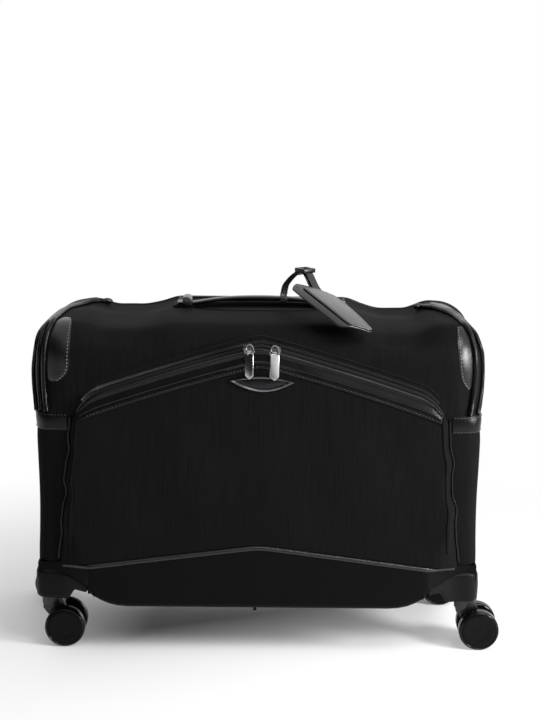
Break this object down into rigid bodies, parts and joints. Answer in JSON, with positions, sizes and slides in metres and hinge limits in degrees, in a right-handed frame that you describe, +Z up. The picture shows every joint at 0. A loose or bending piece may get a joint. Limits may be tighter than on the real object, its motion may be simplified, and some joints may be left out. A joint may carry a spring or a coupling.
{
  "type": "carry-on suitcase",
  "caption": "Wide soft-sided black carry-on case with a peaked zip front panel, moulded base, swivel twin-wheel casters, telescoping trolley and a low carry handle with luggage tag.",
  "frame": {"origin": "on the floor under the centre of the bounding box", "axes": "+X to the right seen from the front, +Y to the back, +Z up"},
  "size_m": [0.6, 0.2475, 0.4635],
  "materials": {
    "woven_nylon": "black woven nylon over thin foam",
    "trim_leather": "black grained leather with stitched edges",
    "zip_tape": "black woven zip tape",
    "moulded_plastic": "black moulded plastic, fine texture",
    "fork_plastic": "black moulded nylon",
    "gloss_handle": "glossy black plastic",
    "wheel_rubber": "black wheels with a glossy tread",
    "bright_metal": "polished grey metal",
    "pin_steel": "plain steel",
    "badge_dark": "bare dark plate",
    "tube_aluminium": "satin anodised"
  },
  "bodies": {
    "case": {"hood_wrap": "woven_nylon", "end_gusset_left": "woven_nylon", "end_gusset_right": "woven_nylon", "back_panel": "woven_nylon", "base_pan": "moulded_plastic", "base_trim": "trim_leather", "corner_guard_front_left": "moulded_plastic", "corner_guard_front_right": "moulded_plastic", "corner_guard_rear_left": "moulded_plastic", "corner_guard_rear_right": "moulded_plastic", "caster_pins": "pin_steel", "front_piping_left": "trim_leather", "front_piping_right": "trim_leather", "side_band_left": "trim_leather", "side_band_right": "trim_leather", "corner_patch_left": "trim_leather", "corner_patch_right": "trim_leather", "handle_well": "moulded_plastic", "handle_brackets": "bright_metal", "trolley_bezel": "moulded_plastic", "outer_tubes": "tube_aluminium", "lining_channel": "woven_nylon", "hood_zip_tape": "zip_tape"},
    "front_panel": {"front_pocket": "woven_nylon", "pocket_band": "trim_leather", "pocket_zip_tape": "zip_tape", "pocket_zip_coil": "moulded_plastic", "badge_rim": "bright_metal", "badge_plate": "badge_dark", "pocket_piping_left": "trim_leather", "pocket_piping_right": "trim_leather"},
    "slider_left": {"zip_slider_left": "bright_metal"},
    "slider_right": {"zip_slider_right": "bright_metal"},
    "pull_left": {"zip_pull_left": "bright_metal"},
    "pull_right": {"zip_pull_right": "bright_metal"},
    "handle": {"carry_handle": "gloss_handle", "handle_feet": "gloss_handle", "tag_strap": "trim_leather", "tag_buckle": "bright_metal"},
    "tag": {"tag_plate": "trim_leather", "tag_flap": "trim_leather"},
    "trolley_mid": {"mid_tubes": "tube_aluminium"},
    "trolley_top": {"inner_tubes": "tube_aluminium", "trolley_grip": "moulded_plastic"},
    "button": {"grip_button": "gloss_handle"},
    "fork_front_left": {"caster_fork_front_left": "fork_plastic", "caster_axle_front_left": "pin_steel"},
    "wheels_front_left": {"caster_wheels_front_left": "wheel_rubber"},
    "fork_front_right": {"caster_fork_front_right": "fork_plastic", "caster_axle_front_right": "pin_steel"},
    "wheels_front_right": {"caster_wheels_front_right": "wheel_rubber"},
    "fork_rear_left": {"caster_fork_rear_left": "fork_plastic", "caster_axle_rear_left": "pin_steel"},
    "wheels_rear_left": {"caster_wheels_rear_left": "wheel_rubber"},
    "fork_rear_right": {"caster_fork_rear_right": "fork_plastic", "caster_axle_rear_right": "pin_steel"},
    "wheels_rear_right": {"caster_wheels_rear_right": "wheel_rubber"}
  },
  "joints": [
    {"name": "front_panel_drop", "type": "hinge", "parent": "case", "child": "front_panel", "pos_m": [0, -0.123, 0.112], "axis": [1, 0, 0], "range_deg": [0, 90]},
    {"name": "zip_left_run", "type": "slide", "parent": "front_panel", "child": "slider_left", "axis": [-0.9566, 0, -0.2915], "range_m": [0, 0.19]},
    {"name": "zip_right_run", "type": "slide", "parent": "front_panel", "child": "slider_right", "axis": [0.9566, 0, -0.2915], "range_m": [0, 0.186]},
    {"name": "pull_left_swing", "type": "hinge", "parent": "slider_left", "child": "pull_left", "pos_m": [-0.013, -0.11615, 0.38184], "axis": [-1, 0, 0], "range_deg": [0, 100]},
    {"name": "pull_right_swing", "type": "hinge", "parent": "slider_right", "child": "pull_right", "pos_m": [0.017, -0.11615, 0.38062], "axis": [-1, 0, 0], "range_deg": [0, 100]},
    {"name": "handle_lift", "type": "slide", "parent": "case", "child": "handle", "axis": [0, 0, 1], "range_m": [0, 0.012]},
    {"name": "tag_swing", "type": "hinge", "parent": "handle", "child": "tag", "pos_m": [0.06616, -0.02235, 0.44219], "axis": [-0.8383, -0.4514, 0.3057], "range_deg": [0, 60]},
    {"name": "trolley_first_stage", "type": "slide", "parent": "case", "child": "trolley_mid", "axis": [0, 0, 1], "range_m": [0, 0.25]},
    {"name": "trolley_second_stage", "type": "slide", "parent": "trolley_mid", "child": "trolley_top", "axis": [0, 0, 1], "range_m": [0, 0.25]},
    {"name": "button_press", "type": "slide", "parent": "trolley_top", "child": "button", "axis": [0, 0, -1], "range_m": [0, 0.002], "stiffness_N_per_m": 300, "springref_m": -0.003},
    {"name": "swivel_front_left", "type": "hinge", "parent": "case", "child": "fork_front_left", "pos_m": [-0.258, -0.069, 0.06], "axis": [0, 0, 1], "continuous": true},
    {"name": "roll_front_left", "type": "hinge", "parent": "fork_front_left", "child": "wheels_front_left", "pos_m": [-0.241, -0.069, 0.025], "axis": [0, 1, 0], "continuous": true},
    {"name": "swivel_front_right", "type": "hinge", "parent": "case", "child": "fork_front_right", "pos_m": [0.258, -0.069, 0.06], "axis": [0, 0, 1], "continuous": true},
    {"name": "roll_front_right", "type": "hinge", "parent": "fork_front_right", "child": "wheels_front_right", "pos_m": [0.275, -0.069, 0.025], "axis": [0, 1, 0], "continuous": true},
    {"name": "swivel_rear_left", "type": "hinge", "parent": "case", "child": "fork_rear_left", "pos_m": [-0.258, 0.095, 0.06], "axis": [0, 0, 1], "continuous": true},
    {"name": "roll_rear_left", "type": "hinge", "parent": "fork_rear_left", "child": "wheels_rear_left", "pos_m": [-0.275, 0.095, 0.025], "axis": [0, 1, 0], "continuous": true},
    {"name": "swivel_rear_right", "type": "hinge", "parent": "case", "child": "fork_rear_right", "pos_m": [0.258, 0.095, 0.06], "axis": [0, 0, 1], "continuous": true},
    {"name": "roll_rear_right", "type": "hinge", "parent": "fork_rear_right", "child": "wheels_rear_right", "pos_m": [0.241, 0.095, 0.025], "axis": [0, 1, 0], "continuous": true}
  ]
}
